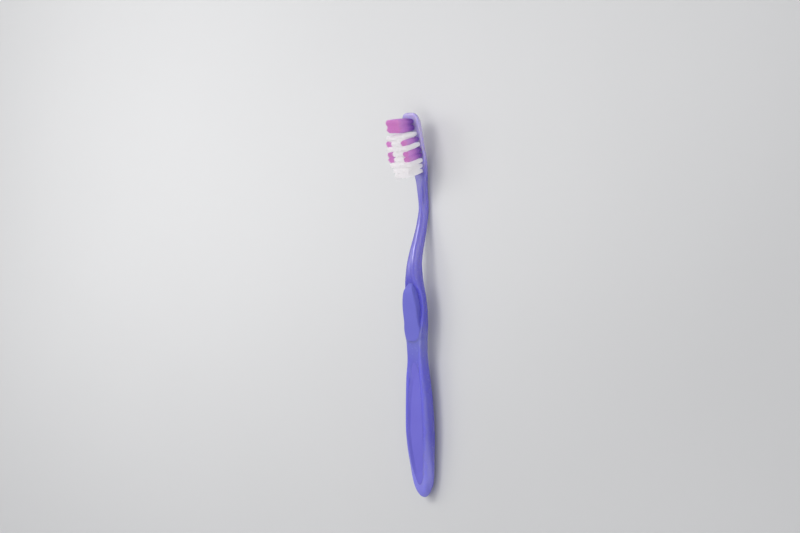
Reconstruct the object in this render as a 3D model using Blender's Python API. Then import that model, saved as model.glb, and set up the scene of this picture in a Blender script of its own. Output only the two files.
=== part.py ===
# Manual toothbrush, lying on its back with the bristles up and the head towards +X.
#
# The handle, neck and head are one moulding, with a soft thumb pad and a soft grip panel let into
# its front. Each tuft of bristles stands in its own blind hole in the head.
# Lengths are in millimetres. "along" runs down the handle's own axis from the tail, "across" is
# sideways and "up" is towards the bristles, all from that axis. One empty leans the whole brush
# so that its grip and its neck both touch the ground.

import math
import random

import bmesh
import bpy
from mathutils import Vector
from mathutils.geometry import delaunay_2d_cdt

MM = 0.001

# Overall size and stance
LENGTH = 185.0
LEAN = math.radians(2.6)
AXIS_HEIGHT = 4.22
FLAT_CUT = 0.16
MIDDLE = 92.4

# Plan view: half the width, and half the width of the front face between its edges
HALF_WIDTH = [
    (0, 6.4), (14, 6.9), (32, 7.9), (46, 7.4), (57, 6.35), (68, 5.1), (75, 5.3), (82, 6.6), (90, 7.1),
    (96, 6.6), (104, 4.5), (114, 3.65), (124, 3.0), (140, 2.6), (149, 2.85), (155, 4.0), (161, 5.3),
    (167, 5.55), (185, 5.6),
]
EDGE_ACROSS = [
    (0, 4.0), (8, 4.3), (14, 4.9), (23, 5.9), (32, 6.5), (46, 6.0), (57, 5.3), (68, 4.2), (75, 4.3),
    (80, 5.6), (90, 6.8), (95, 6.2), (101, 4.1), (105, 2.75), (112, 2.35), (126, 1.4), (132, 1.1), (140, 1.2), (147, 1.6),
    (155, 3.0), (161, 4.8), (167, 5.1), (185, 5.15),
]

# Side view: the edges of the front face, the widest level and the back
EDGE_UP = [
    (0, 2.0), (14, 3.1), (23, 3.8), (32, 4.15), (46, 3.85), (57, 3.7), (68, 3.1), (77, 3.1), (84, 2.5),
    (90, 1.9), (96, 1.8), (101, 2.6), (104.5, 3.7), (110, 3.35), (118, 1.3), (126, -1.75),
    (133, -4.1), (140, -5.35), (147, -5.2), (155, -5.87),
]
WIDEST_UP = [
    (0, 0.3), (14, 0.8), (32, 1.0), (46, 0.9), (57, 0.6), (68, 0.0), (76, 0.1), (90, 0.6), (104, 0.2),
    (114, -0.4), (118, -1.4), (126, -3.9), (133, -6.0), (141, -7.3), (150, -6.9), (155, -6.6),
]
BACK_UP = [
    (0, -3.5), (14, -4.5), (30, -5.65), (44, -5.75), (57, -5.0), (68, -4.3), (79, -4.7), (90, -4.2),
    (104, -3.7), (111, -3.5), (118, -5.1), (126, -7.7), (133, -9.5), (141, -10.65), (149, -10.0),
    (156, -9.9), (161, -9.1), (168, -7.5), (176, -6.4), (185, -5.3),
]

# How far the middle of the grip's front is hollowed below its edges
HOLLOW = [
    (0, 0.0), (6, 0.0), (14, 1.5), (23, 2.15), (32, 2.55), (45, 2.3), (57, 1.75), (65, 0.35), (68, 0.0),
]

# Power of the dish's curve: 2 is a parabola, higher has a flatter floor and steeper sides
DISH_POWER = 2.6

# Head
FACE_START = 155.0
FACE_UP = -5.87
FACE_SLOPE = 0.194
FACE_EDGE_DEPTH = 0.6
TIP_LENGTH = 10.0
TIP_POWER = 3.4
TIP_BACK_LENGTH = 5.0
TIP_NOSE_LENGTH = 1.3
TIP_NOSE_DROP = 1.3
TAIL_LENGTH = 12.5
TAIL_POWER = 1.9
TAIL_RISE_LENGTH = 7.0

# Bristles
TUFT_PITCH = 2.57
FIRST_ROW_ALONG = 156.9
ROWS = [
    (3, 1.95), (3, 2.45), (4, 3.3), (4, 3.6), (4, 3.65), (4, 3.5), (4, 3.4), (3, 2.65), (2, 1.35),
    (2, 1.35),
]
END_ROWS = {9, 10}
END_ROWS_SHIFT = {9: 0.4, 10: 0.8}
END_ROWS_LEAN = 0.115
END_ROWS_SIZE = 1.35
TUFT_SPLAY = 0.047
PURPLE_OUTER_ROWS = {4, 5, 7}
HOLE_RADIUS = 0.93
HOLE_DEPTH = 2.6
HOLE_SIDES = 8
PLUG_RADIUS = 0.82
PLUG_DEPTH = 2.4
PLUG_PROUD = 0.12
STRAND_COUNTS = (3, 8)
END_STRAND_COUNTS = (4, 11)
STRAND_RING_INNER = 0.27
STRAND_RING_OUTER = 0.60
STRAND_RADIUS = 0.155
STRAND_SIDES = 3
STRAND_LENGTH = 11.6
STRAND_SPREAD = 1.75
END_STRAND_SPREAD = 1.45
STRAND_UNEVEN = 0.2
STRAND_SEED = 3

# Soft inserts
INSERT_GAP = 0.12
PANEL_CENTRE = 29.0
PANEL_BELOW = 23.0
PANEL_ABOVE = 36.0
PANEL_HALF_WIDTH = 5.0
PANEL_THICKNESS = 1.1
PANEL_CUT_ABOVE = 2.0
PANEL_STEPS_ALONG = 26
PANEL_END_SHARE = 0.03
PAD_START = 75.4
PAD_END = 103.0
PAD_HALF_WIDTH = [
    (75.4, 3.0), (75.8, 3.7), (76.6, 4.25), (78, 4.7), (80, 4.9), (84, 4.9), (90, 4.7), (95, 4.3),
    (99, 3.2), (101.5, 2.2), (103, 1.0),
]
PAD_TOP = [
    (75.4, 3.5), (80, 3.75), (85, 4.35), (90, 4.7), (96, 5.35), (99, 5.4), (101.5, 4.5), (103, 3.8),
]
PAD_DEPTH = 0.9
PAD_EDGE_DROP = 0.35
PAD_EDGE_POWER = 6
PAD_CUT_ABOVE = 4.0
PAD_STEPS_ALONG = 20

# Block that trims the brush flat where it rests
GROUND_BLOCK = (400.0, 100.0, 20.0)

# Mesh density and smoothing
FRONT_STEPS = 8
SHOULDER_STEPS = 4
BACK_STEPS = 12
BODY_SPACING = 3.4
END_STEPS = 7
INSERT_STEPS_ACROSS = 8
BODY_SHARP = math.radians(35)
STRAND_SHARP = math.radians(60)
SAME_PLANE = 0.99999
CAP_MERGE = 1e-5
CAP_INSIDE_ONLY = 1

# Colours of the materials, linear
VIOLET = (0.20, 0.17, 0.62, 1.0)
SOFT_VIOLET = (0.17, 0.15, 0.56, 1.0)
WHITE = (0.86, 0.84, 0.86, 1.0)
PURPLE = (0.42, 0.13, 0.50, 1.0)


def smooth_line(points):
    """Smooth line through (along, value) points, which never swings past them."""
    places = [point[0] for point in points]
    values = [point[1] for point in points]
    steps = [
        (values[i + 1] - values[i]) / (places[i + 1] - places[i]) for i in range(len(points) - 1)
    ]
    slopes = [steps[0]]
    for before, after in zip(steps, steps[1:]):
        turning = before * after <= 0
        slopes.append(0.0 if turning else 2 * before * after / (before + after))
    slopes.append(steps[-1])

    def value(along):
        along = min(max(along, places[0]), places[-1])
        i = max(k for k in range(len(places) - 1) if places[k] <= along)
        width = places[i + 1] - places[i]
        t = (along - places[i]) / width
        start = (1 + 2 * t) * (1 - t) ** 2 * values[i] + t * (1 - t) ** 2 * width * slopes[i]
        end = t * t * (3 - 2 * t) * values[i + 1] + t * t * (t - 1) * width * slopes[i + 1]
        return start + end

    return value


half_width_line = smooth_line(HALF_WIDTH)
edge_across_line = smooth_line(EDGE_ACROSS)
edge_up_line = smooth_line(EDGE_UP)
widest_up_line = smooth_line(WIDEST_UP)
back_up_line = smooth_line(BACK_UP)
hollow_line = smooth_line(HOLLOW)
pad_half_width = smooth_line(PAD_HALF_WIDTH)
pad_top_line = smooth_line(PAD_TOP)


def face_up(along):
    """Height of the head's flat face, which climbs towards the tip."""
    return FACE_UP + FACE_SLOPE * (along - FACE_START)


def rounding(distance, reach, power=2.0):
    """Share of full size at a distance from where rounding starts: 1 there, 0 at its reach."""
    share = min(max(distance / reach, 0.0), 1.0)
    return (1 - share**power) ** (1 / power)


def edge_up(along):
    """Height of the edges of the front face."""
    if along >= FACE_START:
        nose = 1 - rounding(along - (LENGTH - TIP_NOSE_LENGTH), TIP_NOSE_LENGTH)
        return face_up(along) - TIP_NOSE_DROP * nose
    tail = rounding(TAIL_RISE_LENGTH - along, TAIL_RISE_LENGTH)
    level = widest_up_line(along)
    return level + (edge_up_line(along) - level) * tail


def widest_up(along):
    """Height where the section is widest."""
    if along >= FACE_START:
        return max(face_up(along) - FACE_EDGE_DEPTH, back_up(along))
    return widest_up_line(along)


def back_up(along):
    """Height of the back."""
    if along >= FACE_START:
        nose = face_up(along) - TIP_NOSE_DROP
        tip = rounding(along - (LENGTH - TIP_BACK_LENGTH), TIP_BACK_LENGTH)
        return nose + (back_up_line(along) - nose) * tip
    tail = rounding(TAIL_RISE_LENGTH - along, TAIL_RISE_LENGTH)
    level = widest_up_line(along)
    return level + (back_up_line(along) - level) * tail


def plan_share(along):
    """How much of its full width the brush has near its round ends."""
    tail = rounding(TAIL_LENGTH - along, TAIL_LENGTH, TAIL_POWER)
    tip = rounding(along - (LENGTH - TIP_LENGTH), TIP_LENGTH, TIP_POWER)
    return tail * tip


def half_width(along):
    return half_width_line(along) * plan_share(along)


def edge_across(along):
    return edge_across_line(along) * plan_share(along)


def front_up(along, across):
    """Height of the front face, hollowed between its edges in the grip."""
    share = min(abs(across) / edge_across(along), 1.0)
    return edge_up(along) - hollow_line(along) * (1 - share**DISH_POWER)


def section(along):
    """Points (across, up) round one section: front face, shoulder, back, shoulder."""
    half, edge = half_width(along), edge_across(along)
    top, level, back = edge_up(along), widest_up(along), back_up(along)
    points = []
    for i in range(FRONT_STEPS + 1):
        across = edge * (1 - 2 * i / FRONT_STEPS)
        points.append((across, front_up(along, across)))
    for i in range(1, SHOULDER_STEPS + 1):
        turn = math.pi / 2 * i / SHOULDER_STEPS
        points.append((-edge - (half - edge) * math.sin(turn), level + (top - level) * math.cos(turn)))
    for i in range(1, BACK_STEPS + 1):
        turn = math.pi * i / BACK_STEPS
        points.append((-half * math.cos(turn), level - (level - back) * math.sin(turn)))
    for i in range(1, SHOULDER_STEPS):
        turn = math.pi / 2 * (1 - i / SHOULDER_STEPS)
        points.append((edge + (half - edge) * math.sin(turn), level + (top - level) * math.cos(turn)))
    return points


def stations():
    """Places of the sections: close together at the round ends, even between."""
    shares = [1 - math.cos(math.pi / 2 * i / END_STEPS) for i in range(1, END_STEPS + 1)]
    tail = [TAIL_LENGTH * share for share in shares]
    tip = [LENGTH - TIP_LENGTH * share for share in shares]
    count = round((tip[-1] - tail[-1]) / BODY_SPACING)
    body = [tail[-1] + (tip[-1] - tail[-1]) * i / count for i in range(1, count)]
    return tail + body + tip[::-1]


def new_object(name, mesh, material, parent):
    obj = bpy.data.objects.new(name, mesh)
    bpy.context.scene.collection.objects.link(obj)
    if material:
        mesh.materials.append(material)
    obj.parent = parent
    return obj


def finish_mesh(name, form, sharp_angle=BODY_SHARP):
    bmesh.ops.recalc_face_normals(form, faces=form.faces)
    mesh = bpy.data.meshes.new(name)
    form.to_mesh(mesh)
    form.free()
    mesh.shade_smooth()
    mesh.set_sharp_from_angle(angle=sharp_angle)
    return mesh


def loft(rings, ends=None):
    """Closed form over rings of points; ends are the two poles, or None for flat caps."""
    form = bmesh.new()
    loops = [[form.verts.new(Vector(point) * MM) for point in ring] for ring in rings]
    count = len(loops[0])
    for first, second in zip(loops, loops[1:]):
        for i in range(count):
            j = (i + 1) % count
            form.faces.new((first[i], first[j], second[j], second[i]))
    if ends is None:
        form.faces.new(loops[0])
        form.faces.new(loops[-1])
        return form
    for loop, end in zip((loops[0], loops[-1]), ends):
        pole = form.verts.new(Vector(end) * MM)
        for i in range(count):
            form.faces.new((loop[i], loop[(i + 1) % count], pole))
    return form


def dissolve_head_face(form):
    """Makes the head's flat face one face, so that the holes cut it cleanly."""
    normal = Vector((-FACE_SLOPE, 0, 1)).normalized()
    flat = []
    for face in form.faces:
        on_head = face.calc_center_median().x > FACE_START * MM
        if on_head and abs(face.normal.dot(normal)) > SAME_PLANE:
            flat.append(face)
    bmesh.ops.dissolve_faces(form, faces=flat)


def make_handle(material, parent):
    rings = [[(along, across, up) for across, up in section(along)] for along in stations()]
    tail = (0.0, 0.0, widest_up_line(0))
    tip = (LENGTH, 0.0, face_up(LENGTH) - TIP_NOSE_DROP)
    form = loft(rings, (tail, tip))
    bmesh.ops.recalc_face_normals(form, faces=form.faces)
    dissolve_head_face(form)
    return new_object("handle", finish_mesh("handle", form), material, parent)


def make_cutter(name, form, parent):
    cutter = new_object(name, finish_mesh(name, form), None, parent)
    cutter.hide_render = True
    cutter.display_type = "WIRE"
    return cutter


def insert_rings(places, half, top, bottom):
    """Sections of an insert: its top surface one way, its bottom surface back."""
    rings = []
    for along in places:
        reach = half(along)
        row = [reach * (1 - 2 * i / INSERT_STEPS_ACROSS) for i in range(INSERT_STEPS_ACROSS + 1)]
        upper = [(along, across, top(along, across)) for across in row]
        lower = [(along, across, bottom(along, across)) for across in reversed(row)]
        rings.append(upper + lower)
    return rings


def panel_places(grow):
    """Places along the grip panel, closer together towards its ends."""
    places = []
    for i in range(PANEL_STEPS_ALONG + 1):
        share = PANEL_END_SHARE + (1 - 2 * PANEL_END_SHARE) * i / PANEL_STEPS_ALONG
        turn = math.pi * (share - 0.5)
        reach = (PANEL_ABOVE if turn > 0 else PANEL_BELOW) + grow
        places.append(PANEL_CENTRE + reach * math.sin(turn))
    return places


def panel_half(grow):
    """Half width of the grip panel: two half ellipses that meet where it is widest."""

    def half(along):
        reach = (PANEL_ABOVE if along > PANEL_CENTRE else PANEL_BELOW) + grow
        return (PANEL_HALF_WIDTH + grow) * rounding(abs(along - PANEL_CENTRE), reach)

    return half


def front_shifted(shift):
    """Surface that runs a distance above the grip's front, or below it."""

    def up(along, across):
        return front_up(along, across) + shift

    return up


def make_panel(material, parent):
    places = panel_places(-INSERT_GAP)
    rings = insert_rings(places, panel_half(-INSERT_GAP), front_up, front_shifted(-PANEL_THICKNESS))
    return new_object("grip_panel", finish_mesh("grip_panel", loft(rings)), material, parent)


def make_panel_pocket(parent):
    top = front_shifted(PANEL_CUT_ABOVE)
    bottom = front_shifted(-PANEL_THICKNESS - INSERT_GAP)
    rings = insert_rings(panel_places(0), panel_half(0), top, bottom)
    return make_cutter("panel_pocket", loft(rings), parent)


def pad_places(start, end):
    """Places along the thumb pad, closer together towards its ends."""
    turns = [math.pi * i / PAD_STEPS_ALONG for i in range(PAD_STEPS_ALONG + 1)]
    return [start + (end - start) * (1 - math.cos(turn)) / 2 for turn in turns]


def pad_top(along, across):
    """Top of the thumb pad, with its rim rolled down."""
    share = abs(across) / pad_half_width(along)
    return pad_top_line(along) - PAD_EDGE_DROP * share**PAD_EDGE_POWER


def pad_level(shift):
    """Surface that is level across, a distance above or below the edges of the front."""

    def up(along, across):
        return edge_up(along) + shift

    return up


def pad_pocket_half(along):
    return pad_half_width(along) + INSERT_GAP


def make_pad(material, parent):
    places = pad_places(PAD_START, PAD_END)
    rings = insert_rings(places, pad_half_width, pad_top, pad_level(-PAD_DEPTH))
    return new_object("thumb_pad", finish_mesh("thumb_pad", loft(rings)), material, parent)


def make_pad_pocket(parent):
    places = pad_places(PAD_START - INSERT_GAP, PAD_END + INSERT_GAP)
    bottom = pad_level(-PAD_DEPTH - INSERT_GAP)
    rings = insert_rings(places, pad_pocket_half, pad_level(PAD_CUT_ABOVE), bottom)
    return make_cutter("pad_pocket", loft(rings), parent)


def tuft_places():
    """Row number, number in the row, whether it is an outer one, and place on the head's face."""
    for row, (count, reach) in enumerate(ROWS, start=1):
        along = FIRST_ROW_ALONG + TUFT_PITCH * (row - 1) + END_ROWS_SHIFT.get(row, 0.0)
        for number in range(1, count + 1):
            across = reach * (1 - 2 * (number - 1) / (count - 1))
            outer = number in (1, count)
            yield row, number, outer, Vector((along, across, face_up(along)))


def ring_points(radius, count, turn=0.0):
    angles = [turn + math.tau * i / count for i in range(count)]
    return [Vector((radius * math.cos(angle), radius * math.sin(angle))) for angle in angles]


def make_tuft_holes(parent):
    """All the blind holes in the head as one cutter, square to the face."""
    form = bmesh.new()
    lean = math.atan(FACE_SLOPE)
    along_face = Vector((math.cos(lean), 0, math.sin(lean)))
    out = Vector((-math.sin(lean), 0, math.cos(lean)))
    side = Vector((0, 1, 0))
    for row, _, _, place in tuft_places():
        radius = HOLE_RADIUS * tuft_size(row)
        circle = [along_face * p.x + side * p.y for p in ring_points(radius, HOLE_SIDES)]
        low = [form.verts.new((place + p - out * HOLE_DEPTH) * MM) for p in circle]
        high = [form.verts.new((place + p + out * HOLE_DEPTH) * MM) for p in circle]
        form.faces.new(low)
        form.faces.new(high)
        for i in range(HOLE_SIDES):
            j = (i + 1) % HOLE_SIDES
            form.faces.new((low[i], low[j], high[j], high[i]))
    return make_cutter("tuft_holes", form, parent)


def tuft_size(row):
    """The tufts of the end rows are thicker than the rest."""
    return END_ROWS_SIZE if row in END_ROWS else 1.0


def strand_centres(row, chance):
    """Where the strands of a tuft stand: an inner ring and an outer ring."""
    inner, outer = END_STRAND_COUNTS if row in END_ROWS else STRAND_COUNTS
    size = tuft_size(row)
    centres = ring_points(STRAND_RING_INNER * size, inner, chance.uniform(0, 1))
    return centres + ring_points(STRAND_RING_OUTER * size, outer, chance.uniform(0, 1))


def tuft_mesh(name, row, lean, material):
    """A tuft: three-sided strands standing on the plug that fills its hole, all one body."""
    chance = random.Random(STRAND_SEED)
    spread = END_STRAND_SPREAD if row in END_ROWS else STRAND_SPREAD
    plug = ring_points(PLUG_RADIUS * tuft_size(row), HOLE_SIDES)
    centres = strand_centres(row, chance)
    flat = list(plug)
    edges = [(i, (i + 1) % HOLE_SIDES) for i in range(HOLE_SIDES)]
    for centre in centres:
        first = len(flat)
        turn = chance.uniform(0, math.tau)
        flat += [centre + point for point in ring_points(STRAND_RADIUS, STRAND_SIDES, turn)]
        edges += [(first, first + 1), (first + 1, first + 2), (first + 2, first)]
    points, _, faces, _, _, _ = delaunay_2d_cdt(flat, edges, [], CAP_INSIDE_ONLY, CAP_MERGE)
    form = bmesh.new()
    top = [form.verts.new(Vector((point.x, point.y, PLUG_PROUD)) * MM) for point in points]
    bottom = [form.verts.new(Vector((point.x, point.y, -PLUG_DEPTH)) * MM) for point in plug]
    form.faces.new(bottom)
    for i in range(HOLE_SIDES):
        j = (i + 1) % HOLE_SIDES
        form.faces.new((bottom[i], bottom[j], top[j], top[i]))
    strand_of = {HOLE_SIDES + i: i // STRAND_SIDES for i in range(STRAND_SIDES * len(centres))}
    for face in faces:
        owners = {strand_of.get(i, -1) for i in face}
        if len(owners) > 1 or -1 in owners:
            form.faces.new([top[i] for i in face])
    for number, centre in enumerate(centres):
        first = HOLE_SIDES + STRAND_SIDES * number
        foot = top[first:first + STRAND_SIDES]
        length = STRAND_LENGTH + chance.uniform(-STRAND_UNEVEN, STRAND_UNEVEN)
        shift = Vector((centre.x, centre.y, 0)) * (spread - 1) + lean * length
        rise = Vector((0, 0, length - PLUG_PROUD))
        head = [form.verts.new(vertex.co + (shift + rise) * MM) for vertex in foot]
        form.faces.new(head)
        for i in range(STRAND_SIDES):
            j = (i + 1) % STRAND_SIDES
            form.faces.new((foot[i], foot[j], head[j], head[i]))
    mesh = finish_mesh(name, form, STRAND_SHARP)
    mesh.materials.append(material)
    return mesh


def make_tufts(white, purple, parent):
    """Tufts that splay outwards; those of the end rows also lean towards the tip."""
    for row, number, outer, place in tuft_places():
        name = f"tuft_row{row:02d}_{number}"
        is_purple = row in END_ROWS or (outer and row in PURPLE_OUTER_ROWS)
        lean = Vector((END_ROWS_LEAN if row in END_ROWS else 0.0, TUFT_SPLAY * place.y, 0))
        mesh = tuft_mesh(name, row, lean, purple if is_purple else white)
        tuft = new_object(name, mesh, None, parent)
        tuft.location = place * MM
        tuft.rotation_euler = (0, -math.atan(FACE_SLOPE), 0)


def make_ground_cut():
    """Block whose top trims the grip and the neck flat where they rest."""
    form = bmesh.new()
    bmesh.ops.create_cube(form, size=MM)
    bmesh.ops.scale(form, vec=Vector(GROUND_BLOCK), verts=form.verts)
    bmesh.ops.translate(form, vec=Vector((0, 0, -GROUND_BLOCK[2] / 2)) * MM, verts=form.verts)
    return make_cutter("ground_cut", form, None)


def cut(target, cutter):
    modifier = target.modifiers.new(cutter.name, "BOOLEAN")
    modifier.operation = "DIFFERENCE"
    modifier.solver = "EXACT"
    modifier.object = cutter


def make_material(name, colour, roughness):
    material = bpy.data.materials.new(name)
    material.use_nodes = True
    shader = material.node_tree.nodes["Principled BSDF"]
    shader.inputs["Base Color"].default_value = colour
    shader.inputs["Roughness"].default_value = roughness
    shader.inputs["Metallic"].default_value = 0.0
    return material


def clear_scene():
    for obj in list(bpy.data.objects):
        bpy.data.objects.remove(obj, do_unlink=True)


def build():
    clear_scene()
    stance = bpy.data.objects.new("brush_stance", None)
    bpy.context.scene.collection.objects.link(stance)
    stance.rotation_euler = (0, -LEAN, 0)
    stance.location = (-MIDDLE * MM, 0, (AXIS_HEIGHT - FLAT_CUT) * MM)

    hard = make_material("violet_plastic", VIOLET, 0.28)
    soft = make_material("soft_violet_elastomer", SOFT_VIOLET, 0.6)
    white = make_material("white_filament", WHITE, 0.45)
    purple = make_material("purple_filament", PURPLE, 0.45)

    handle = make_handle(hard, stance)
    cut(handle, make_tuft_holes(stance))
    cut(handle, make_panel_pocket(stance))
    cut(handle, make_pad_pocket(stance))
    cut(handle, make_ground_cut())
    make_panel(soft, stance)
    make_pad(soft, stance)
    make_tufts(white, purple, stance)


build()
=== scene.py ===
# Looks of the manual toothbrush: finer handle, soft parts and bristles, materials, light, camera.
#
# Lengths in the shape code are millimetres, from the handle's own axis, as in the part's source:
# "along" from the tail, "across" sideways, "up" towards the bristles. The whole brush is then
# leaned and moved into the row frame, where its grip and neck touch the floor.

import math
import random

import bmesh
import bpy
import numpy as np
from mathutils import Matrix, Vector


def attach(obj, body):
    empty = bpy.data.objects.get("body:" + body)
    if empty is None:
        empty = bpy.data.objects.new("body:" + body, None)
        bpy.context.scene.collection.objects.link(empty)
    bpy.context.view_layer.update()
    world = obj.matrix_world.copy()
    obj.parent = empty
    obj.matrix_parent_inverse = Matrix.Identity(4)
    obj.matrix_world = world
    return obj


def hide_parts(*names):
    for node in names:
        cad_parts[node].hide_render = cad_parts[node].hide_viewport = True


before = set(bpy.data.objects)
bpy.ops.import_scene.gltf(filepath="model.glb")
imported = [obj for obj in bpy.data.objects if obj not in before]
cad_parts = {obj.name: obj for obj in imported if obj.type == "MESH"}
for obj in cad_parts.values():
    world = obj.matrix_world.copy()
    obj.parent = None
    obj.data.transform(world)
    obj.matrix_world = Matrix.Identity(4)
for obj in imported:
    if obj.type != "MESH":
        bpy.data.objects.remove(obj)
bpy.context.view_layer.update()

MM = 0.001

# Overall size and stance, as in the part's source
LENGTH = 185.0
LEAN = math.radians(2.6)
AXIS_HEIGHT = 4.06
MIDDLE = 92.4

# Plan view: half the width, and half the width of the front face between its edges
HALF_WIDTH = [
    (0, 6.4), (14, 6.9), (32, 7.9), (46, 7.4), (57, 6.35), (68, 5.1), (75, 5.3), (82, 6.6), (90, 7.1),
    (96, 6.6), (104, 4.5), (114, 3.65), (124, 3.0), (140, 2.6), (149, 2.85), (155, 4.0), (161, 5.3),
    (167, 5.55), (185, 5.6),
]
EDGE_ACROSS = [
    (0, 4.0), (8, 4.2), (14, 4.8), (23, 5.9), (32, 6.4), (46, 5.95), (57, 5.2), (68, 4.2), (75, 4.3),
    (80, 5.6), (90, 6.8), (95, 6.2), (101, 4.1), (105, 2.75), (112, 2.35), (126, 1.4), (132, 1.1),
    (140, 1.2), (147, 1.6), (155, 3.0), (161, 4.8), (167, 5.1), (185, 5.15),
]

# Side view: the edges of the front face, the widest level and the back
EDGE_UP = [
    (0, 2.0), (14, 3.1), (23, 3.75), (32, 4.05), (46, 3.8), (57, 3.65), (68, 3.1), (77, 3.1), (84, 2.5),
    (90, 1.9), (96, 1.8), (101, 2.6), (104.5, 3.7), (110, 3.35), (118, 1.3), (126, -1.75),
    (133, -4.1), (140, -5.35), (147, -5.2), (155, -5.87),
]
WIDEST_UP = [
    (0, -0.4), (14, 0.2), (28, 0.9), (32, 1.0), (46, 0.9), (57, 0.6), (68, 0.0), (76, 0.1), (90, 0.6),
    (104, 0.2), (114, -0.4), (118, -1.4), (126, -3.9), (133, -6.0), (141, -7.3), (150, -6.9),
    (155, -6.6),
]
BACK_UP = [
    (0, -3.5), (14, -4.5), (30, -5.65), (44, -5.75), (57, -5.0), (68, -4.3), (79, -4.7), (90, -4.2),
    (104, -3.7), (111, -3.5), (118, -5.1), (126, -7.7), (133, -9.5), (141, -10.65), (149, -10.0),
    (156, -9.9), (161, -9.1), (168, -7.5), (176, -6.4), (185, -5.3),
]

# Depth of the dish in the grip, and height of the crown of the neck
HOLLOW = [
    (0, 0.0), (6, 0.0), (14, 1.5), (23, 2.1), (32, 2.45), (45, 2.3), (57, 1.75), (65, 0.35), (68, 0.0),
]
CROWN = [(0, 0.0), (101, 0.0), (108, 0.25), (114, 0.35), (128, 0.35), (138, 0.2), (148, 0.0)]

# Share of the face's width at which the dish meets its rim, and power of the dish's curve
DISH_RIM = 0.78
DISH_POWER = 2.8

# Power of the shoulders' curve: 2 is an ellipse, 1 a straight chamfer, and below 1 it is hollow
SHOULDER_POWER = [
    (0, 1.4), (14, 1.35), (34, 1.35), (57, 1.4), (68, 1.7), (80, 2.0), (96, 2.0), (106, 1.6), (116, 1.25),
    (134, 1.2), (139, 0.6), (147, 0.32), (152, 1.0), (157, 2.0), (185, 2.2),
]

# Spread of the rounding of the edges between the front face and the shoulders
EDGE_ROUNDING = [
    (0, 0.5), (20, 0.35), (60, 0.35), (75, 0.3), (96, 0.3), (104, 0.5), (112, 0.8), (128, 0.75),
    (147, 0.45), (157, 0.2), (185, 0.2),
]

# Head's flat face, and the stretches about its start over which the body's lines turn into its own
FACE_START = 155.0
FACE_UP = -5.87
FACE_SLOPE = 0.194
FACE_EDGE_DEPTH = 0.6
EDGE_TURN_BEFORE = 1.5
EDGE_TURN_AFTER = 1.0
WIDEST_TURN_BEFORE = 4.0
WIDEST_TURN_AFTER = 2.0

# Round ends
TIP_LENGTH = 10.0
TIP_POWER = 3.4
TIP_BACK_LENGTH = 5.0
TIP_NOSE_LENGTH = 1.3
TIP_NOSE_DROP = 1.3
TAIL_LENGTH = 12.5
TAIL_POWER = 1.9
TAIL_RISE_LENGTH = 7.0

# Tufts: how many there are in each row, and how far from the middle the outer ones stand
TUFT_PITCH = 2.57
FIRST_ROW_ALONG = 156.9
ROWS = [
    (3, 1.95), (3, 2.45), (4, 3.3), (4, 3.6), (4, 3.65), (4, 3.5), (4, 3.4), (3, 2.65), (2, 1.35),
    (2, 1.35),
]
END_ROWS = {9, 10}
END_ROWS_SHIFT = {9: 0.4, 10: 0.8}
END_ROWS_LEAN = 0.115
END_ROWS_SIZE = 1.35
TUFT_SPLAY = 0.044
PURPLE_OUTER_ROWS = {4, 5, 7}
TUFT_SEED = 4

# Filaments, and the bundle that they make in one tuft
FILAMENT_COUNT = 150
END_FILAMENT_COUNT = 240
FILAMENT_RADIUS = 0.11
FILAMENT_SIDES = 5
FILAMENT_STEPS = 5
FILAMENT_LENGTH = 11.6
FILAMENT_UNEVEN = 0.2
FILAMENT_SUNK = 1.0
FILAMENT_WANDER = 0.12
FILAMENT_SHARP_ANGLE = 70
BUNDLE_RADIUS = 0.78
BUNDLE_TIP_LENGTHWISE = 1.26
BUNDLE_TIP_ACROSS = 1.82
BUNDLE_BULGE = 0.3
TUFT_WANDER = 0.01

# Rounded end of a filament: share of its length, and share of its radius there
FILAMENT_END = [(0.985, 0.97), (1.0, 0.5)]

# Grip panel
PANEL_CENTRE = 29.0
PANEL_BELOW = 23.0
PANEL_ABOVE = 36.0
PANEL_HALF_WIDTH = 5.0
PANEL_PROUD = 0.1
PANEL_SPINE = (17.0, 50.0)
PANEL_ROLL = 0.3
PANEL_DEPTH = 0.7

# Thumb pad
PAD_START = 75.0
PAD_END = 103.0
PAD_HALF_WIDTH = [
    (75.0, 1.6), (75.3, 2.7), (76, 3.8), (77, 4.6), (78.5, 5.05), (80.5, 5.3), (82.5, 5.1), (84.5, 4.65),
    (90, 4.75), (95, 4.1), (99, 3.1), (101.5, 2.2), (103, 1.0),
]
PAD_TOP = [
    (75.0, 3.65), (79, 3.7), (82, 3.95), (86, 4.45), (90, 4.75), (96, 5.4), (99, 5.5), (101.5, 4.4),
    (103, 3.6),
]
PAD_CROWN = 0.18
PAD_LEAST_HALF_WIDTH = 0.5
PAD_SPINE = (80.0, 98.0)
PAD_ROLL = 0.45
PAD_DEPTH = 3.2

# Low swell of the handle along the round lower end of the thumb pad
SWELL_CENTRE = 78.8
SWELL_LENGTH = 3.6
SWELL_HALF_WIDTH = 5.3
SWELL_HEIGHT = 0.32
SWELL_SPREAD = 0.8

# Smoothing of the lines, and how far a blur reaches, in spreads
GRID_STEP = 0.1
LINE_SPREAD = 2.2
BLUR_REACH = 4

# Mesh density of the handle
STATION_SPACING = 0.6
SWELL_STATION_SPACING = 0.2
SWELL_STATION_MARGIN = 2.0
END_STEPS = 26
FRONT_INNER_SHARE = 0.6
FRONT_INNER_STEPS = 14
FRONT_OUTER_STEPS = 14
SHOULDER_STEPS = 22
SHOULDER_FINE_STEPS = 176
BACK_STEPS = 18

# Blur that rounds an edge: its reach and its fading, in spreads, and its steps
EDGE_BLUR_REACH = 3
EDGE_BLUR_FADE = 3
EDGE_BLUR_STEPS = 25

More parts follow.
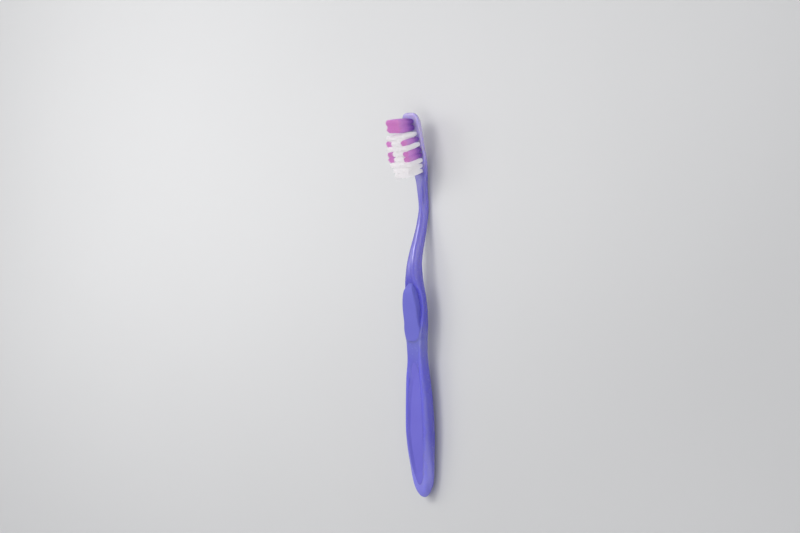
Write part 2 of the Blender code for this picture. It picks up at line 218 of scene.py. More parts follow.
# Rings of an insert: those of the top, those of the rolled edge and those of the wall
INSERT_TOP_STEPS = 16
INSERT_ROLL_RINGS = [0, 0.05, 0.12, 0.22, 0.35, 0.5, 0.7, 1.0]
INSERT_ROLL_REACH = 1.2
INSERT_ROLLED_SHARE = 0.5
INSERT_WALL_RINGS = (0.35, 1.0)
INSERT_SHARP_ANGLE = 60
MERGE_DISTANCE = 1e-6

# Colours, linear
# Painted sheen: the tail end is paler, for the sheen of light reflected there
TAIL_PAINTED_SHEEN = (0.270, 0.260, 0.760)
VIOLET = (0.148, 0.138, 0.640)
WAIST_VIOLET = (0.176, 0.182, 0.548)
# Painted shade: darker beside the thumb pad
HUMP_PAINTED_SHADE = (0.108, 0.100, 0.520)
# Painted sheen: paler on the neck, for the sheen of light reflected there
VIOLET_LIGHT = (0.178, 0.158, 0.540)
# Painted shade: darker at the neck's end, where the bristles shade it
NECK_PAINTED_SHADE = (0.160, 0.140, 0.490)
# Painted sheen: the head is much paler, for the sheen of light reflected on it
HEAD_PAINTED_SHEEN = (0.440, 0.380, 0.640)
PANEL_VIOLET = (0.156, 0.141, 0.590)
PANEL_VIOLET_LIGHT = (0.170, 0.155, 0.610)
PAD_VIOLET = (0.144, 0.142, 0.545)
PAD_VIOLET_LIGHT = (0.156, 0.154, 0.565)
FLOOR_COLOUR = (0.62, 0.62, 0.62)
FLOOR_UNEVENNESS = 1.02

# Colour of the plastic by the share of the brush's length, with painted sheen and painted shade in it
PLASTIC_STOPS = [
    (0.05, TAIL_PAINTED_SHEEN), (0.17, VIOLET), (0.32, VIOLET), (0.40, WAIST_VIOLET), (0.46, HUMP_PAINTED_SHADE),
    (0.53, HUMP_PAINTED_SHADE), (0.62, VIOLET_LIGHT), (0.79, NECK_PAINTED_SHADE), (0.83, NECK_PAINTED_SHADE),
    (0.92, HEAD_PAINTED_SHEEN),
]

# Colour of the filaments from their hole, at 0, to their tip, at 1, darker towards the hole as painted
# shade, and weight of their translucency
WHITE_ROOT_SHADE_STOPS = [(0.0, (0.80, 0.78, 0.86)), (0.25, (0.90, 0.88, 0.90)), (1.0, (0.90, 0.88, 0.89))]
WHITE_TRANSLUCENCY = 0.15
# Painted shade darkens the purple towards the roots, and the pinker tips are a painted highlight where
# light catches their ends
PURPLE_SHADE_AND_TIP_HIGHLIGHT_STOPS = [
    (0.0, (0.14, 0.05, 0.36)), (0.25, (0.28, 0.10, 0.50)), (0.5, (0.56, 0.22, 0.66)),
    (0.8, (0.66, 0.30, 0.72)), (1.0, (0.72, 0.28, 0.64)),
]
PURPLE_TRANSLUCENCY = 0.2

# Ranges: of most of a noise's values, of the shifts that noise gives to a ramp, and of roughness
NOISE_RANGE = (0.3, 0.7)
FLOW_RANGE = (0.3, 0.75)
FLOW_SHIFT = (-0.015, 0.015)
FILAMENT_SHIFT = (-0.06, 0.06)
PLASTIC_ROUGHNESS = (0.21, 0.28)
SOFT_ROUGHNESS = (0.55, 0.66)
FILAMENT_ROUGHNESS = (0.32, 0.42)

# View of the photograph, in the handle's own frame
VIEW_TURN = math.radians(43)
PICTURE_LEAN = math.radians(2.4)
MM_PER_PIXEL = 0.4808
PICTURE_SIZE = (800, 533)
TAIL_PIXEL = (424.0, 497.2)
CAMERA_DISTANCE = 3.0
CAMERA_NEAREST = 0.1
CAMERA_FARTHEST = 20.0
SENSOR_WIDTH = 36.0

# Light and floor, in metres of the row frame: directions from the brush, and the bristles' place
HEAD_LIGHT_DIRECTION = (0.52, 0.165, 0.83)
NEAR_CARD_DIRECTION = (0.1, -0.9, 0.4)
OVERHEAD_DIRECTION = (-0.1, -0.15, 1.0)
FAR_SOFTBOX_DIRECTION = (0.135, 0.27, 0.25)
BRISTLE_FILL_DIRECTION = (0.25, -0.93, 0.26)
BRISTLE_PLACE = (0.075, 0.0, 0.014)
BRUSH_MIDDLE = (0.0, 0.0, 0.0)
SPOT_RADIUS = 0.1
WORLD_COLOUR = (0.95, 0.96, 1.0)
WORLD_STRENGTH = 0.39
FLOOR_HALF_SIZE = 3.0


def blur(values, spread, step):
    """Gaussian blur of evenly spaced values, with their ends held."""
    reach = int(BLUR_REACH * spread / step)
    offsets = np.arange(-reach, reach + 1) * step
    weights = np.exp(-0.5 * (offsets / spread) ** 2)
    weights /= weights.sum()
    padded = np.pad(values, reach, mode="edge")
    return np.convolve(padded, weights, mode="valid")


GRID = np.arange(0.0, LENGTH + GRID_STEP / 2, GRID_STEP)


def hermite(points):
    """Line through (along, value) points on GRID, which never swings past them."""
    places, values = np.array(points, float).T
    widths = np.diff(places)
    steps = np.diff(values) / widths
    product = steps[:-1] * steps[1:]
    total = np.where(product > 0, steps[:-1] + steps[1:], 1.0)
    inner = np.where(product > 0, 2 * product / total, 0.0)
    slopes = np.concatenate(([steps[0]], inner, [steps[-1]]))
    along = np.clip(GRID, places[0], places[-1])
    i = np.clip(np.searchsorted(places, along, side="right") - 1, 0, len(places) - 2)
    t = (along - places[i]) / widths[i]
    start = (1 + 2 * t) * (1 - t) ** 2 * values[i] + t * (1 - t) ** 2 * widths[i] * slopes[i]
    end = t * t * (3 - 2 * t) * values[i + 1] + t * t * (t - 1) * widths[i] * slopes[i + 1]
    return start + end


def line(points, spread=LINE_SPREAD):
    """Function of along: the smooth line through the points, blurred so that its bend is even too."""
    values = blur(hermite(points), spread, GRID_STEP)

    def value(along):
        return np.interp(along, GRID, values)

    return value


half_width_line = line(HALF_WIDTH)
edge_across_line = line(EDGE_ACROSS, spread=1.6)
edge_up_line = line(EDGE_UP, spread=1.2)
widest_up_line = line(WIDEST_UP)
back_up_line = line(BACK_UP)
hollow_line = line(HOLLOW, spread=1.6)
crown_line = line(CROWN, spread=1.6)
shoulder_power = line(SHOULDER_POWER)
edge_rounding = line(EDGE_ROUNDING)
pad_half_width = line(PAD_HALF_WIDTH, spread=0.4)
pad_top_line = line(PAD_TOP, spread=0.7)


def rounding(distance, reach, power=2.0):
    """Share of full size at a distance from where rounding starts: 1 there, 0 at its reach."""
    share = np.clip(distance / reach, 0.0, 1.0)
    return (1 - share**power) ** (1 / power)


def smooth_step(value, low, high):
    """Share that goes smoothly from 0 at low to 1 at high."""
    t = np.clip((value - low) / (high - low), 0.0, 1.0)
    return t * t * (3 - 2 * t)


def face_up(along):
    """Height of the head's flat face, which climbs towards the tip."""
    return FACE_UP + FACE_SLOPE * (along - FACE_START)


def edge_up(along):
    """Height of the edges of the front face."""
    nose = 1 - rounding(along - (LENGTH - TIP_NOSE_LENGTH), TIP_NOSE_LENGTH)
    head = face_up(along) - TIP_NOSE_DROP * nose
    tail = rounding(TAIL_RISE_LENGTH - along, TAIL_RISE_LENGTH)
    level = widest_up_line(along)
    body = level + (edge_up_line(along) - level) * tail
    share = smooth_step(along, FACE_START - EDGE_TURN_BEFORE, FACE_START + EDGE_TURN_AFTER)
    return body + (head - body) * share


def back_up(along):
    """Height of the back."""
    nose = face_up(along) - TIP_NOSE_DROP
    tip = rounding(along - (LENGTH - TIP_BACK_LENGTH), TIP_BACK_LENGTH)
    tail = rounding(TAIL_RISE_LENGTH - along, TAIL_RISE_LENGTH)
    level = widest_up_line(along)
    body = level + (back_up_line(along) - level) * tail
    head = nose + (back_up_line(along) - nose) * tip
    return np.where(along > LENGTH - TIP_BACK_LENGTH, head, body)


def widest_up(along):
    """Height where the section is widest."""
    head = np.maximum(face_up(along) - FACE_EDGE_DEPTH, back_up(along))
    share = smooth_step(along, FACE_START - WIDEST_TURN_BEFORE, FACE_START + WIDEST_TURN_AFTER)
    body = widest_up_line(along)
    return body + (head - body) * share


def plan_share(along):
    """How much of its full width the brush has near its round ends."""
    tail = rounding(TAIL_LENGTH - along, TAIL_LENGTH, TAIL_POWER)
    tip = rounding(along - (LENGTH - TIP_LENGTH), TIP_LENGTH, TIP_POWER)
    return tail * tip


def half_width(along):
    """Half the width of the brush."""
    return half_width_line(along) * plan_share(along)


def edge_across(along):
    """Half the width of the front face."""
    return edge_across_line(along) * plan_share(along)


def front_up(along, across):
    """Height of the front face: a dish inside a flat rim in the grip, and crowned in the neck."""
    share = np.clip(np.abs(across) / np.maximum(edge_across(along), 1e-6), 0.0, 1.0)
    level = edge_up(along) - hollow_line(along) * (1 - np.minimum(share / DISH_RIM, 1.0) ** DISH_POWER)
    level = level + crown_line(along) * (1 - share**2)
    reach = np.clip(np.abs(across) / SWELL_HALF_WIDTH, 0.0, 1.0)
    middle = SWELL_CENTRE - SWELL_LENGTH * np.sqrt(1 - reach**2)
    return level + SWELL_HEIGHT * np.exp(-((along - middle) / SWELL_SPREAD) ** 2)


def stations():
    """Places of the sections: close together at the round ends and at the swell."""
    shares = 1 - np.cos(np.pi / 2 * np.arange(1, END_STEPS + 1) / END_STEPS)
    tail = TAIL_LENGTH * shares
    tip = LENGTH - TIP_LENGTH * shares
    body = np.linspace(tail[-1], tip[-1], int((tip[-1] - tail[-1]) / STATION_SPACING) + 1)
    swell_start = SWELL_CENTRE - SWELL_LENGTH - SWELL_STATION_MARGIN
    swell = np.arange(swell_start, SWELL_CENTRE, SWELL_STATION_SPACING)
    return np.unique(np.concatenate((tail, body[1:-1], swell, tip)))


def line_lengths(points):
    """Length along a line from its start to each of its points."""
    steps = np.linalg.norm(np.diff(points, axis=0), axis=1)
    return np.concatenate(([0], np.cumsum(steps)))


def points_at(marks, lengths, points):
    """Points of a flat line at some lengths along it."""
    return np.stack([np.interp(marks, lengths, points[:, k]) for k in (0, 1)], -1)


def even_line(points, count):
    """The same line with a count of evenly spaced points."""
    lengths = line_lengths(points)
    return points_at(np.linspace(0, lengths[-1], count), lengths, points)


def round_edge(half, corner, spread):
    """Rounds the corner of a half section: a blur along the section that fades away from it."""
    whole = np.concatenate((half[:0:-1] * (-1, 1), half))
    lengths = line_lengths(whole)
    own = lengths[len(half) - 1:]
    fade = np.exp(-0.5 * ((own - own[corner]) / (EDGE_BLUR_FADE * spread)) ** 2)
    steps = np.linspace(-EDGE_BLUR_REACH, EDGE_BLUR_REACH, EDGE_BLUR_STEPS)
    weights = np.exp(-0.5 * steps**2)
    weights /= weights.sum()
    marks = own[:, None] + spread * fade[:, None] * steps
    return np.stack([np.interp(marks, lengths, whole[:, k]) @ weights for k in (0, 1)], -1)


def half_section(along):
    """Half of one section from the middle of the front to the middle of the back."""
    half = float(half_width(along))
    edge = float(edge_across(along))
    top = float(edge_up(along))
    level = float(widest_up(along))
    back = float(back_up(along))
    power = float(shoulder_power(along))
    inner = FRONT_INNER_SHARE * edge
    across = np.concatenate((
        np.linspace(0, inner, FRONT_INNER_STEPS + 1)[:-1],
        np.linspace(inner, edge, FRONT_OUTER_STEPS + 1),
    ))
    front = np.stack((across, front_up(along, across)), -1)
    turn = np.linspace(0, np.pi / 2, SHOULDER_FINE_STEPS)
    reach = np.sin(turn) ** (2 / power)
    drop = np.cos(turn) ** (2 / power)
    shoulder = np.stack((edge + (half - edge) * reach, level + (top - level) * drop), -1)
    shoulder = even_line(shoulder, SHOULDER_STEPS + 1)[1:]
    turn = np.linspace(0, np.pi / 2, BACK_STEPS + 1)[1:]
    rear = np.stack((half * np.cos(turn), level - (level - back) * np.sin(turn)), -1)
    ring = np.concatenate((front, shoulder, rear))
    ring = round_edge(ring, len(front) - 1, float(edge_rounding(along)))
    ring[0, 0] = ring[-1, 0] = 0.0
    return ring


def whole_section(along):
    """Closed section: the half and its mirror image, as (along, across, up) points."""
    half = half_section(along)
    mirrored = half[-2:0:-1] * (-1, 1)
    ring = np.concatenate((half, mirrored))
    return np.column_stack((np.full(len(ring), along), ring))


def place_in_row(points):
    """Moves points from the handle's axis into the row frame, in metres."""
    points = np.asarray(points, float)
    c, s = math.cos(LEAN), math.sin(LEAN)
    x = points[..., 0] * c - points[..., 2] * s - MIDDLE
    z = points[..., 0] * s + points[..., 2] * c + AXIS_HEIGHT
    return np.stack((x, points[..., 1], z), -1) * MM


def add_object(name, data):
    """Object with the data, linked to the scene."""
    obj = bpy.data.objects.new(name, data)
    bpy.context.scene.collection.objects.link(obj)
    return obj


def mesh_object(name, points, faces, material, sharp=40):
    """Smooth mesh whose normals face outwards and whose edges above an angle stay sharp."""
    mesh = bpy.data.meshes.new(name)
    mesh.from_pydata([tuple(p) for p in points], [], faces)
    mesh.validate()
    form = bmesh.new()
    form.from_mesh(mesh)
    bmesh.ops.recalc_face_normals(form, faces=form.faces)
    form.to_mesh(mesh)
    form.free()
    mesh.shade_smooth()
    mesh.set_sharp_from_angle(angle=math.radians(sharp))
    mesh.materials.append(material)
    return add_object(name, mesh)


def grid_faces(rows, count):
    """Quads between rings that each have the same number of points."""
    faces = []
    for row in range(rows - 1):
        low, high = row * count, (row + 1) * count
        for i in range(count):
            j = (i + 1) % count
            faces.append((low + i, low + j, high + j, high + i))
    return faces


def make_handle(material):
    """The handle's skin: a closed row of sections that stands on the floor."""
    rings = [whole_section(along) for along in stations()]
    count = len(rings[0])
    points = np.concatenate(rings)
    faces = grid_faces(len(rings), count)
    tail, tip = len(points), len(points) + 1
    ends = [(0.0, 0.0, widest_up_line(0)), (LENGTH, 0.0, face_up(LENGTH) - TIP_NOSE_DROP)]
    points = np.concatenate((points, ends))
    last = (len(rings) - 1) * count
    for i in range(count):
        j = (i + 1) % count
        faces.append((j, i, tail))
        faces.append((last + i, last + j, tip))
    placed = place_in_row(points)
    placed[:, 2] = np.maximum(placed[:, 2], 0.0)
    return mesh_object("handle_moulding", placed, faces, material)


def panel_outline(count=240):
    """Outline of the grip panel, as (along, across) points."""
    turn = np.arange(count) * math.tau / count
    reach = np.where(np.cos(turn) > 0, PANEL_ABOVE, PANEL_BELOW)
    return np.stack((PANEL_CENTRE + reach * np.cos(turn), PANEL_HALF_WIDTH * np.sin(turn)), -1)


def pad_outline(count=120):
    """Outline of the thumb pad, as (along, across) points."""
    turn = np.pi * np.arange(count + 1) / count
    along = PAD_START + (PAD_END - PAD_START) * (1 - np.cos(turn)) / 2
    half = pad_half_width(along)
    side = np.stack((along, half), -1)
    other = np.stack((along, -half), -1)[::-1]
    return np.concatenate((side, other))


def even_outline(outline, spacing=0.25):
    """The same closed outline with its points evenly spaced."""
    closed = np.concatenate((outline, outline[:1]))
    lengths = line_lengths(closed)
    count = int(lengths[-1] / spacing)
    return points_at(np.arange(count) * lengths[-1] / count, lengths, closed)


def outline_distance(places, outline):
    """Distance of each place from the outline."""
    closed = np.concatenate((outline, outline[:1]))
    best = np.full(len(places), np.inf)
    for start, end in zip(closed[:-1], closed[1:]):
        step = end - start
        share = np.clip((places - start) @ step / (step @ step), 0, 1)
        gap = np.linalg.norm(places - start - share[:, None] * step, axis=1)
        best = np.minimum(best, gap)
    return best


def make_insert(name, outline, spine, top, roll, depth, material):
    """A moulded insert: top surface, edge rolled to a radius, and a wall that goes down by depth."""
    centre = np.stack((np.clip(outline[:, 0], *spine), np.zeros(len(outline))), -1)
    spread = np.linalg.norm(outline - centre, axis=1).max()
    inner = 1 - np.array(INSERT_ROLL_RINGS) * INSERT_ROLL_REACH * roll / spread
    shares = np.concatenate((np.linspace(0, inner[-1], INSERT_TOP_STEPS)[:-1], inner[::-1]))
    rings = []
    for share in shares:
        flat = centre + (outline - centre) * share
        up = top(flat[:, 0], flat[:, 1])
        near_edge = share > INSERT_ROLLED_SHARE
        gap = outline_distance(flat, outline) if near_edge else np.full(len(flat), roll)
        inward = np.clip(roll - gap, 0, roll)
        up = up - (roll - np.sqrt(roll**2 - inward**2))
        rings.append(np.column_stack((flat, up)))
    foot = rings[-1].copy()
    for sink in INSERT_WALL_RINGS:
        wall = foot.copy()
        wall[:, 2] -= depth * sink
        rings.append(wall)
    points = np.concatenate(rings)
    faces = grid_faces(len(rings), len(outline))
    # One face closes the foot of the wall. The dish of the grip is deeper than the panel's wall,
    # so there this face lies above the middle of the top surface and hides it.
    last = (len(rings) - 1) * len(outline)
    faces.append(tuple(range(last, last + len(outline))))
    obj = mesh_object(name, place_in_row(points), faces, material, INSERT_SHARP_ANGLE)
    form = bmesh.new()
    form.from_mesh(obj.data)
    bmesh.ops.remove_doubles(form, verts=form.verts, dist=MERGE_DISTANCE)
    bmesh.ops.recalc_face_normals(form, faces=form.faces)
    form.to_mesh(obj.data)
    form.free()
    return obj


def panel_top(along, across):
    """Top of the grip panel, which follows the front face."""
    return front_up(along, across) + PANEL_PROUD


def pad_top(along, across):
    """Top of the thumb pad, a little crowned across."""
    half = np.maximum(pad_half_width(along), PAD_LEAST_HALF_WIDTH)
    return pad_top_line(along) - PAD_CROWN * np.clip(np.abs(across) / half, 0, 1) ** 2


def tuft_places():
    """Row number, number in the row, whether it is an outer one, and place on the head's face."""
    for row, (count, reach) in enumerate(ROWS, start=1):
        along = FIRST_ROW_ALONG + TUFT_PITCH * (row - 1) + END_ROWS_SHIFT.get(row, 0.0)
        for number in range(1, count + 1):
            across = reach * (1 - 2 * (number - 1) / (count - 1))
            outer = number in (1, count)
            yield row, number, outer, (along, across, face_up(along))


def filament(root, tip, bow, radius):
    """Points and faces of one filament: a slightly bowed rod whose free end is rounded."""
    points = []
    axis = (tip - root).normalized()
    side = axis.orthogonal().normalized()
    other = axis.cross(side)
    rings = [(i / FILAMENT_STEPS, 1.0) for i in range(FILAMENT_STEPS)] + FILAMENT_END
    for share, width in rings:
        centre = root.lerp(tip, share) + bow * math.sin(math.pi * share)
        for i in range(FILAMENT_SIDES):
            angle = math.tau * i / FILAMENT_SIDES
            points.append(centre + (side * math.cos(angle) + other * math.sin(angle)) * radius * width)
    faces = grid_faces(len(rings), FILAMENT_SIDES)
    last = (len(rings) - 1) * FILAMENT_SIDES
    faces.append(tuple(range(last, last + FILAMENT_SIDES)))
    faces.append(tuple(reversed(range(FILAMENT_SIDES))))
    return points, faces


def make_tuft(name, row, lean, chance, material):
    """A tuft of filaments, in its own frame: the origin at its hole's mouth and up its local Z."""
    points, faces = [], []
    size = END_ROWS_SIZE if row in END_ROWS else 1.0
    count = END_FILAMENT_COUNT if row in END_ROWS else FILAMENT_COUNT
    lean = lean + Vector((chance.gauss(0, TUFT_WANDER), chance.gauss(0, TUFT_WANDER), 0))
    golden = math.pi * (3 - math.sqrt(5))
    for number in range(count):
        radius = math.sqrt((number + 0.5) / count) * size
        angle = golden * number
        spot = Vector((radius * math.cos(angle), radius * math.sin(angle), 0))
        length = FILAMENT_LENGTH + chance.uniform(-FILAMENT_UNEVEN, FILAMENT_UNEVEN)
        root = spot * BUNDLE_RADIUS - lean * FILAMENT_SUNK - Vector((0, 0, FILAMENT_SUNK))
        tip = Vector((spot.x * BUNDLE_TIP_LENGTHWISE, spot.y * BUNDLE_TIP_ACROSS, length)) + lean * length
        tip += Vector((chance.gauss(0, FILAMENT_WANDER), chance.gauss(0, FILAMENT_WANDER), 0))
        bow = Vector((chance.gauss(0, FILAMENT_WANDER), chance.gauss(0, FILAMENT_WANDER), 0))
        bow += spot * BUNDLE_BULGE
        new_points, new_faces = filament(root, tip, bow, FILAMENT_RADIUS)
        first = len(points)
        points += new_points
        faces += [tuple(first + i for i in face) for face in new_faces]
    mesh = bpy.data.meshes.new(name)
    mesh.from_pydata([p * MM for p in points], [], faces)
    mesh.shade_smooth()
    mesh.set_sharp_from_angle(angle=math.radians(FILAMENT_SHARP_ANGLE))
    mesh.materials.append(material)
    return add_object(name, mesh)


def make_tufts(white, purple):
    """All the tufts, each on its place on the head's face."""
    chance = random.Random(TUFT_SEED)
    for row, number, outer, place in tuft_places():
        is_purple = row in END_ROWS or (outer and row in PURPLE_OUTER_ROWS)
        name = f"tuft_row{row:02d}_{number}"
        lean = Vector((END_ROWS_LEAN if row in END_ROWS else 0.0, TUFT_SPLAY * place[1], 0))
        material = purple if is_purple else white
        tuft = make_tuft(name.replace("tuft", "bristles"), row, lean, chance, material)
        tuft.location = place_in_row(place)
        tuft.rotation_euler = (0, -math.atan(FACE_SLOPE) - LEAN, 0)
        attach(tuft, "root")
        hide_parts(name)


class Nodes:
    """Short way to add and link the nodes of one material. Most methods return a node's output."""

    def __init__(self, name):
        self.material = bpy.data.materials.new(name)
        self.material.use_nodes = True
        self.tree = self.material.node_tree
        self.shader = self.tree.nodes["Principled BSDF"]

    def add(self, kind):
        return self.tree.nodes.new(kind)

    def link(self, start, end):
        self.tree.links.new(start, end)

    def set(self, name, value):
        self.shader.inputs[name].default_value = value

    def plug(self, name, value):
        self.link(value, self.shader.inputs[name])

    def place(self):
        return self.add("ShaderNodeTexCoord").outputs["Object"]

    def part(self, vector, axis):
        split = self.add("ShaderNodeSeparateXYZ")
        self.link(vector, split.inputs["Vector"])
        return split.outputs[axis]

    def noise(self, where, scale, detail, roughness):
        node = self.add("ShaderNodeTexNoise")
        node.inputs["Scale"].default_value = scale
        node.inputs["Detail"].default_value = detail
        node.inputs["Roughness"].default_value = roughness
        self.link(where, node.inputs["Vector"])
        return node.outputs["Fac"]

    def ramp(self, value, stops):
        node = self.add("ShaderNodeValToRGB")
        elements = node.color_ramp.elements
        while len(elements) < len(stops):
            elements.new(0.5)
        for element, (place, colour) in zip(elements, stops):
            element.position = place
            element.color = (*colour, 1.0)
        self.link(value, node.inputs["Fac"])
        return node.outputs["Color"]

    def span(self, value, source, target):
        node = self.add("ShaderNodeMapRange")
        node.inputs["From Min"].default_value, node.inputs["From Max"].default_value = source
        node.inputs["To Min"].default_value, node.inputs["To Max"].default_value = target
        self.link(value, node.inputs["Value"])
        return node.outputs["Result"]

    def total(self, first, second):
        node = self.add("ShaderNodeMath")
        node.operation = "ADD"
        self.link(first, node.inputs[0])
        self.link(second, node.inputs[1])
        return node.outputs["Value"]

    def bump(self, value, strength, distance):
        node = self.add("ShaderNodeBump")
        node.inputs["Strength"].default_value = strength
        node.inputs["Distance"].default_value = distance
        self.link(value, node.inputs["Height"])
        self.plug("Normal", node.outputs["Normal"])


def violet_plastic():
    """Glossy moulded plastic with faint flow marks, whose violet changes along the brush with painted
    sheen and painted shade.
    """
    nodes = Nodes("violet_moulded_plastic")
    where = nodes.place()
    flow = nodes.noise(where, scale=45.0, detail=4.0, roughness=0.55)
    shift = nodes.span(flow, FLOW_RANGE, FLOW_SHIFT)
    reach = LENGTH / 2 * MM
    share = nodes.span(nodes.part(where, "X"), (-reach, reach), (0.0, 1.0))
    # The ramp along the brush paints sheen at the tail, neck and head, and shade beside the pad and below
    # the bristles
    nodes.plug("Base Color", nodes.ramp(nodes.total(shift, share), PLASTIC_STOPS))
    fine = nodes.noise(where, scale=900.0, detail=2.0, roughness=0.5)
    nodes.plug("Roughness", nodes.span(fine, NOISE_RANGE, PLASTIC_ROUGHNESS))
    nodes.bump(fine, strength=0.05, distance=0.0001)
    nodes.set("IOR", 1.49)
    nodes.set("Subsurface Weight", 0.8)
    nodes.set("Subsurface Radius", (0.3, 0.3, 1.0))
    nodes.set("Subsurface Scale", 0.003)
    return nodes.material


def soft_elastomer(name, colour, light_colour):
    """Matte soft-touch elastomer with a very fine grain."""
    nodes = Nodes(name)
    where = nodes.place()
    broad = nodes.noise(where, scale=60.0, detail=3.0, roughness=0.5)
    stops = zip(NOISE_RANGE, (colour, light_colour))
    nodes.plug("Base Color", nodes.ramp(broad, list(stops)))
    grain = nodes.noise(where, scale=2600.0, detail=2.0, roughness=0.6)
    nodes.plug("Roughness", nodes.span(grain, NOISE_RANGE, SOFT_ROUGHNESS))
    nodes.bump(grain, strength=0.12, distance=0.00008)
    nodes.set("IOR", 1.45)
    nodes.set("Specular IOR Level", 0.15)
    nodes.set("Sheen Weight", 0.08)
    nodes.set("Sheen Roughness", 0.5)
    return nodes.material


def filament_material(name, stops, translucency):
    """Nylon filament whose colour changes from the root to the tip, with painted shade towards the root.
    """
    nodes = Nodes(name)
    where = nodes.place()
    height = nodes.span(nodes.part(where, "Z"), (0.0, FILAMENT_LENGTH * MM), (0.0, 1.0))
    mottle = nodes.noise(where, scale=1500.0, detail=2.0, roughness=0.5)
    shift = nodes.span(mottle, NOISE_RANGE, FILAMENT_SHIFT)
    nodes.plug("Base Color", nodes.ramp(nodes.total(height, shift), stops))
    nodes.plug("Roughness", nodes.span(mottle, NOISE_RANGE, FILAMENT_ROUGHNESS))
    nodes.set("IOR", 1.53)
    nodes.set("Subsurface Weight", translucency)
    nodes.set("Subsurface Radius", (1.0, 1.0, 1.0))
    nodes.set("Subsurface Scale", 0.001)
    return nodes.material


def floor_material():
    """Pale paper-like floor with a faint unevenness."""
    nodes = Nodes("pale_floor")
    cloud = nodes.noise(nodes.place(), scale=6.0, detail=2.0, roughness=0.5)
    light = tuple(v * FLOOR_UNEVENNESS for v in FLOOR_COLOUR)
    stops = zip(NOISE_RANGE, (FLOOR_COLOUR, light))
    nodes.plug("Base Color", nodes.ramp(cloud, list(stops)))
    nodes.set("Roughness", 0.8)
    nodes.set("Specular IOR Level", 0.2)
    return nodes.material


def make_floor():
    """Large flat floor under the brush."""
    mesh = bpy.data.meshes.new("floor")
    size = FLOOR_HALF_SIZE
    corners = [(-size, -size, 0), (size, -size, 0), (size, size, 0), (-size, size, 0)]
    mesh.from_pydata(corners, [], [(0, 1, 2, 3)])
    mesh.materials.append(floor_material())
    floor = add_object("floor", mesh)


def handle_direction(vector):
    """A direction from the handle's frame, turned into the row frame."""
    turn = Matrix.Rotation(-LEAN, 3, "Y")
    return (turn @ Vector(vector)).normalized()


def view_axes():
    """Directions in the row frame: towards the camera, up the picture and to its left."""
    back = Vector((0, -math.cos(VIEW_TURN), math.sin(VIEW_TURN)))
    side = Vector((0, math.sin(VIEW_TURN), math.cos(VIEW_TURN)))
    length = Vector((1, 0, 0))
    up = length * math.cos(PICTURE_LEAN) - side * math.sin(PICTURE_LEAN)
    left = length * math.sin(PICTURE_LEAN) + side * math.cos(PICTURE_LEAN)
    return [handle_direction(v) for v in (back, up, left)]


def make_camera():
    """Long lens at the photograph's angle, framed so that the tail's end is at its pixel."""
    back, up, left = view_axes()
    tail = Vector(place_in_row((0, 0, 0)))
    right_shift = (PICTURE_SIZE[0] / 2 - TAIL_PIXEL[0]) * MM_PER_PIXEL * MM
    up_shift = (TAIL_PIXEL[1] - PICTURE_SIZE[1] / 2) * MM_PER_PIXEL * MM
    target = tail - left * right_shift + up * up_shift
    data = bpy.data.cameras.new("camera")
    camera = add_object("camera", data)
    camera.matrix_world = Matrix((
        (-left.x, up.x, back.x, 0),
        (-left.y, up.y, back.y, 0),
        (-left.z, up.z, back.z, 0),
        (0, 0, 0, 1),
    ))
    camera.location = target + back * CAMERA_DISTANCE
    width = PICTURE_SIZE[0] * MM_PER_PIXEL * MM
    data.sensor_width = SENSOR_WIDTH
    data.lens = SENSOR_WIDTH * CAMERA_DISTANCE / width
    data.clip_start = CAMERA_NEAREST
    data.clip_end = CAMERA_FARTHEST
    bpy.context.scene.camera = camera


def place_lamp(name, data, target, direction, distance):
    """Puts a lamp in a direction from its target, facing it."""
    lamp = add_object(name, data)
    towards = Vector(direction).normalized()
    lamp.location = Vector(target) + towards * distance
    lamp.rotation_mode = "QUATERNION"
    lamp.rotation_quaternion = towards.to_track_quat("Z", "Y")
    return lamp


def add_lamp(name, direction, distance, size, power, shadow=True):
    """Soft rectangular lamp that faces the middle of the brush."""
    data = bpy.data.lights.new(name, "AREA")
    data.shape = "RECTANGLE"
    data.size, data.size_y = size
    data.energy = power
    data.use_shadow = shadow
    return place_lamp(name, data, BRUSH_MIDDLE, direction, distance)


def add_spot(name, target, direction, distance, angle, power):
    """Spot lamp for a small round place: soft at its edge, with no shadow and no reflection."""
    data = bpy.data.lights.new(name, "SPOT")
    data.energy = power
    data.spot_size = math.radians(angle)
    data.spot_blend = 1.0
    data.shadow_soft_size = SPOT_RADIUS
    data.use_shadow = False
    lamp = place_lamp(name, data, target, direction, distance)
    lamp.visible_glossy = False


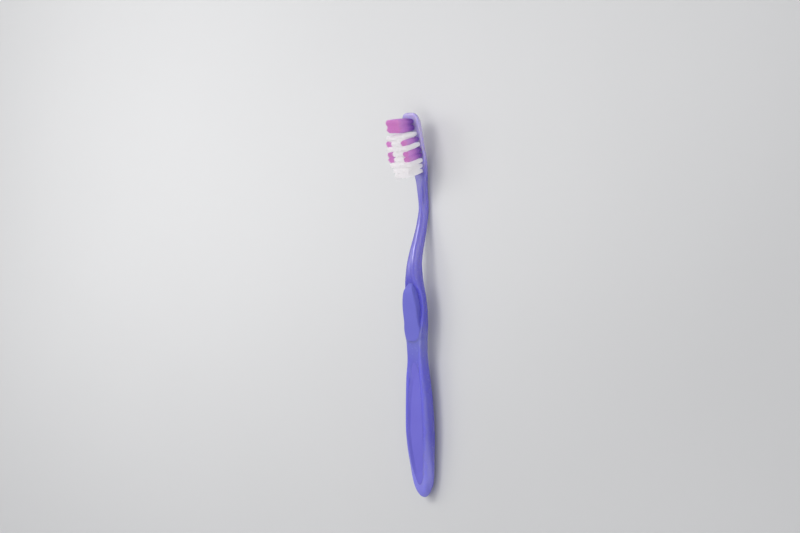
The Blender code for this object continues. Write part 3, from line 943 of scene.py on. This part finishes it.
def make_lights():
    """The lamps and the world. The glint and the near card are seen in reflections alone."""
    add_lamp("head_softbox", HEAD_LIGHT_DIRECTION, distance=1.0, size=(0.4, 0.4), power=2.9)
    glint = add_lamp("head_glint", HEAD_LIGHT_DIRECTION, distance=1.0, size=(0.06, 0.15), power=1.6)
    glint.visible_diffuse = False
    card = add_lamp("near_card", NEAR_CARD_DIRECTION, distance=1.0, size=(1.4, 0.7), power=5.5)
    card.visible_diffuse = False
    add_lamp("overhead_strip", OVERHEAD_DIRECTION, distance=0.9, size=(0.35, 1.2), power=2.0)
    fill = add_lamp(
        "overhead_fill", OVERHEAD_DIRECTION, distance=0.92, size=(0.35, 1.2), power=1.25, shadow=False
    )
    fill.visible_glossy = False
    add_lamp("far_softbox", FAR_SOFTBOX_DIRECTION, distance=0.39, size=(0.2, 0.16), power=0.3)
    add_spot(
        "bristle_fill", BRISTLE_PLACE, BRISTLE_FILL_DIRECTION, distance=1.2, angle=9.0, power=43.0
    )
    world = bpy.data.worlds.new("studio")
    bpy.context.scene.world = world
    world.use_nodes = True
    background = world.node_tree.nodes["Background"]
    background.inputs["Color"].default_value = (*WORLD_COLOUR, 1)
    background.inputs["Strength"].default_value = WORLD_STRENGTH


def build():
    """The whole scene."""
    plastic = violet_plastic()
    handle = make_handle(plastic)
    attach(handle, "root")
    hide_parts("handle")

    outline = even_outline(panel_outline())
    soft = soft_elastomer("soft_grip_elastomer", PANEL_VIOLET, PANEL_VIOLET_LIGHT)
    panel = make_insert(
        "grip_panel_cover", outline, PANEL_SPINE, panel_top, PANEL_ROLL, PANEL_DEPTH, soft
    )
    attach(panel, "root")
    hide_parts("grip_panel")

    outline = even_outline(pad_outline())
    soft = soft_elastomer("soft_pad_elastomer", PAD_VIOLET, PAD_VIOLET_LIGHT)
    pad = make_insert("thumb_pad_cover", outline, PAD_SPINE, pad_top, PAD_ROLL, PAD_DEPTH, soft)
    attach(pad, "root")
    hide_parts("thumb_pad")

    white = filament_material("white_nylon", WHITE_ROOT_SHADE_STOPS, WHITE_TRANSLUCENCY)
    purple = filament_material("purple_nylon", PURPLE_SHADE_AND_TIP_HIGHLIGHT_STOPS, PURPLE_TRANSLUCENCY)
    make_tufts(white, purple)

    make_floor()
    make_camera()
    make_lights()
    bpy.context.scene.view_settings.view_transform = "Standard"


build()
